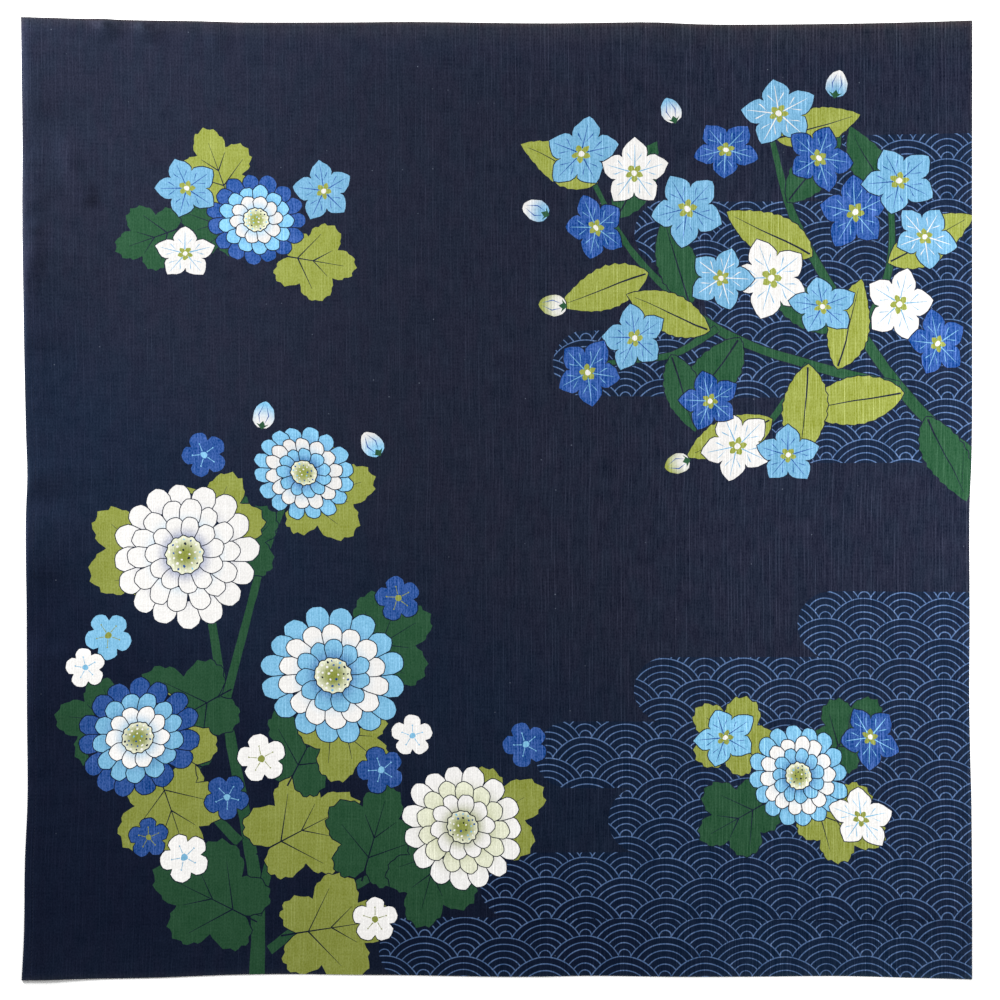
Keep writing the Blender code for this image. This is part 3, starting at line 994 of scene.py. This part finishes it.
def seigaihaLines(w, yarn):
    # Overlapping circles in rows half a radius apart, each row half a pitch across from the last. The
    # lowest row that covers a point wins, and its rings are drawn as lines by the distance from its centre.
    radius, line = seigaiha["radius"], seigaiha["line"]
    sway = w.vector("SUBTRACT", w.noise(yarn, 16, output="Color"), (0.5, 0.5, 0.5))
    axes = w.axes(w.vector("ADD", yarn, w.scaled(sway, (seigaiha["wobble"] * 2 * mm,) * 3)))
    x = w.times(axes["X"], 1 / mm)
    y = w.math("MULTIPLY_ADD", axes["Y"], -1 / mm, cloth["height"] / mm)
    first = w.math("FLOOR", w.math("DIVIDE", w.less(y, radius), radius / 2))
    reach = None
    for step in (3, 2, 1):
        row = w.plus(first, float(step))
        shift = w.times(w.math("FLOORED_MODULO", row, 2.0), radius)
        offX = w.less(w.math("FLOORED_MODULO", w.less(w.plus(x, radius), shift), 2 * radius), radius)
        offY = w.less(y, w.times(row, radius / 2))
        away = w.math("SQRT", w.plus(w.power(offX, 2.0), w.power(offY, 2.0)))
        covers = w.math("LESS_THAN", away, radius)
        reach = away if reach is None else w.plus(w.times(covers, away), w.times(w.less(1.0, covers), reach))
    inRing = w.math("FLOORED_MODULO", w.less(radius, reach), radius / seigaiha["rings"])
    inRing = w.math("ABSOLUTE", w.less(inRing, line / 2))
    width = w.ramp(w.noise(yarn, 30), 0.3, 0.7, 0.40 * line, 0.56 * line)
    return w.ramp(w.less(width, inRing), -0.25, 0.25)


def slubYarns(w, yarn, acrossCloth):
    # One pale yarn in each cell of an uneven row, thick and thin along its run, about zero in the mean
    sway = w.times(w.noise(w.scaled(yarn, (20, 3, 1))), 1.2)
    place = w.math("MULTIPLY_ADD", acrossCloth, weave["threads"], sway)
    away, own = w.cells("W", place, 1.0, 0.45)
    body = w.ramp(away, 0.04, 0.16, 1.0, 0.0)
    swell = w.ramp(w.noise(w.scaled(yarn, (weave["threads"] * 0.9, 18, 1))), 0.38, 0.62, 0.1, 1.4)
    strength = w.math("MULTIPLY_ADD", own[0], 1.2, 0.4)
    return w.less(w.times(body, w.times(swell, strength)), 0.15)


def yarnMarks(w, yarn, acrossCloth):
    # Slubs, cross yarns and grain: a sum of drawn-out noises, about zero in the mean, mostly within half
    # The slubs' colour marks grow stronger towards the right: real slubs, partly with painted raking-light
    # shading of their ribs
    slubs = w.ramp(acrossCloth, 0.25, 0.80, *weave["slubs"])
    total = w.times(w.times(slubYarns(w, yarn, acrossCloth), slubs), weave["gain"] * weave["threadShare"])
    for index, (across, down, share, octaves) in enumerate(weave["layers"]):
        noise = w.noise(w.scaled(yarn, (across, down, 1.0)), 1.0, octaves)
        mark = w.times(w.less(noise, 0.5), weave["gain"] * share)
        total = w.plus(total, w.times(mark, slubs) if index < 2 else mark)
    return total


def groundShade(w, yarn, acrossCloth, downCloth):
    # The two steps towards the lower left, the paler top and bottom, the paler last millimetres of the edges
    # and a faint mottle, all against the ground's own colour
    patches = w.noise(w.scaled(yarn, (45, 22, 1)), 1.0, 2.0)
    shade = w.mix(w.ramp(patches, 0.35, 0.65), (0.93, 1.01, 1.00), (1.07, 0.99, 1.00))
    for slant, start, end, tint in lowerLeftSteps.values():
        slanting = w.math("MULTIPLY_ADD", acrossCloth, -slant, downCloth)
        shade = w.tinted(shade, w.ramp(slanting, start, end), tint)
    fromMiddle = w.math("ABSOLUTE", w.less(acrossCloth, cloth["width"] / 2))
    deeper = w.ramp(fromMiddle, middleDeeper["near"], middleDeeper["far"], middleDeeper["strength"], 1.0)
    shade = w.tinted(shade, w.ramp(downCloth, 0.0, middleDeeper["allThere"]), deeper)
    upCloth = w.less(cloth["height"], downCloth)
    run = w.math("MULTIPLY_ADD", acrossCloth, selvedge["widening"], selvedge["run"])
    pale = w.power(w.ramp(w.math("DIVIDE", downCloth, run), 0.0, 1.0, 1.0, 0.0), 2.0)
    shade = w.tinted(shade, pale, selvedge["tint"])
    shade = w.tinted(shade, w.ramp(upCloth, 0.0, selvedge["bottomRun"], 1.0, 0.0), selvedge["bottomTint"])

    # Distances from the top and the bottom edge, as shares of the pale band there, and in metres from the
    # nearer outer fold, on either side of it
    run = w.math("MULTIPLY_ADD", acrossCloth, edgeTints["topWidening"], edgeTints["topRun"])
    toTop = w.math("DIVIDE", downCloth, run)
    toBottom = w.math("DIVIDE", upCloth, edgeTints["bottomRun"])
    nearer = w.math("MINIMUM", acrossCloth, w.less(cloth["width"], acrossCloth))
    toFold = w.math("ABSOLUTE", w.less(nearer, cloth["foldLine"]))
    sides = w.power(w.ramp(toFold, 0.0, edgeTints["sideRun"], 1.0, 0.0, smooth=False), 3.0)
    ends = w.power(w.ramp(w.math("MINIMUM", toTop, toBottom), 0.0, 1.0, 1.0, 0.0, smooth=False), 2.0)
    paleEdge = w.vector("MAXIMUM", w.mix(sides, plain, edgeTints["sideTint"]), w.mix(ends, plain, edgeTints["endTint"]))
    corner = w.times(w.ramp(acrossCloth, 0.6, 0.9), w.ramp(downCloth, -0.20, 0.75))
    return w.scaled(shade, w.tinted(paleEdge, w.times(w.math("SQRT", sides), corner), edgeTints["lowRight"]))


def clothMaterial():
    w = Wiring("printed slub cotton", *gloss["cloth"])
    yarn = w.attribute("yarn").outputs["Vector"]
    acrossCloth, downCloth, _ = w.axes(yarn)
    inMist, dyed, printed = w.axes(w.attribute("makeup").outputs["Vector"])
    ink, fadeInk = w.attribute("ink"), w.attribute("fadeInk")
    share = w.power(w.ramp(w.vector("LENGTH", w.attribute("fade").outputs["Vector"]), 0.0, 1.0), 2.0)
    colour = w.mix(share, ink.outputs["Color"], fadeInk.outputs["Color"])
    grip = w.plus(w.times(share, fadeInk.outputs["Alpha"]), w.times(w.less(1.0, share), ink.outputs["Alpha"]))
    colour = w.mix(dyed, colour, w.scaled(colour, groundShade(w, yarn, acrossCloth, downCloth)))

    # Waves in the mist, over the ground and under the slubs, then the flecks
    colour = w.mix(w.times(seigaihaLines(w, yarn), inMist), colour, seigaiha["ink"])
    away, own = w.cells("Vector", yarn, flecks["cells"])
    fleck = w.times(w.ramp(away, flecks["core"], flecks["rim"], 1.0, 0.0),
                    w.math("GREATER_THAN", own[0], flecks["without"]))
    colour = w.mix(w.times(fleck, w.times(dyed, own[1])), colour, flecks["colour"])
    colour = w.mix(printed, w.mix(back["share"], colour, back["colour"]), colour)

    # A slub adds the ink's own colour and its grey in nearly equal parts
    marks = yarnMarks(w, yarn, acrossCloth)
    grey = w.vector("DOT_PRODUCT", colour, (0.3, 0.5, 0.2))
    slubColour = w.node("ShaderNodeVectorMath", operation="SCALE")
    w.join(w.mix(weave["grey"], colour, grey), slubColour.inputs[0])
    w.join(w.times(marks, w.times(grip, 2.0)), slubColour.inputs["Scale"])
    finished = w.vector("ADD", colour, slubColour.outputs["Vector"])
    w.join(w.vector("MAXIMUM", finished, (0.0, 0.0, 0.0)), w.shader.inputs["Base Color"])

    bump = w.node("ShaderNodeBump")
    bump.inputs["Strength"].default_value = weave["bump"]
    bump.inputs["Distance"].default_value = weave["bumpHeight"]
    w.join(marks, bump.inputs["Height"])
    w.join(bump.outputs["Normal"], w.shader.inputs["Normal"])
    return w.material


def threadMaterial():
    w = Wiring("hem thread", *gloss["thread"])
    ply = w.noise(w.scaled(w.node("ShaderNodeTexCoord").outputs["Object"], (1600, 900, 0)))
    w.join(w.mix(w.ramp(ply, 0.35, 0.65), *threadDye), w.shader.inputs["Base Color"])
    return w.material


layPrint()
print("print laid:", len(printAreas), "areas of ink")
clothSheet = dressCloth(makeCloth())
print("cloth made:", len(clothSheet.data.polygons), "triangles")
clothSheet.data.materials.append(clothMaterial())
stitchesFace = makeStitches("hemStitchesFace", under=False)
stitchesBack = makeStitches("hemStitchesBack", under=True)
thread = threadMaterial()
for stitches in (stitchesFace, stitchesBack):
    stitches.data.materials.append(thread)
print("hems stitched:", len(stitchesFace.data.polygons) + len(stitchesBack.data.polygons), "triangles")

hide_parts("cloth")
for piece in (clothSheet, stitchesFace, stitchesBack):
    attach(piece, "root")

# Floor, light and camera
studio = {
    "floorHalf": 4.0,
    "floor": (0.95, 0.95, 0.945),
    "surround": 0.21,
    # Each soft box: name, place, size and power, aimed at the cloth's middle
    "boxes": (("softBoxRight", (0.97, 0.09, 0.70), 0.45, 17.6),
              ("softBoxLeft", (-1.71, 1.42, 0.50), 0.45, 205.0)),
    "lens": 85.0,
    "cameraHeight": 2.5815,
    "aim": (0.0038, -0.0016),
}


def makeFloor():
    half = studio["floorHalf"]
    corners = np.array([[-half, -half, 0], [half, -half, 0], [half, half, 0], [-half, half, 0]])
    floor = newObject("floor", corners, np.array([[0, 1, 2, 3]]))
    w = Wiring("pale floor", *gloss["floor"])
    w.shader.inputs["Base Color"].default_value = (*studio["floor"], 1)
    floor.data.materials.append(w.material)


def makeLights():
    world = bpy.data.worlds.new("studio")
    world.use_nodes = True
    world.node_tree.nodes["Background"].inputs["Color"].default_value = (1, 1, 1, 1)
    world.node_tree.nodes["Background"].inputs["Strength"].default_value = studio["surround"]
    bpy.context.scene.world = world
    for name, at, size, power in studio["boxes"]:
        light = bpy.data.lights.new(name, "AREA")
        light.size = size
        light.energy = power
        box = intoScene(name, light)
        box.location = at
        box.rotation_euler = (-Vector(at)).to_track_quat("-Z", "Y").to_euler()


def makeCamera():
    lens = bpy.data.cameras.new("camera")
    lens.lens = studio["lens"]
    camera = intoScene("camera", lens)
    camera.location = (*studio["aim"], studio["cameraHeight"])
    bpy.context.scene.camera = camera
    bpy.context.scene.view_settings.view_transform = "Standard"


makeFloor()
makeLights()
makeCamera()
print("floor, lights and camera placed")
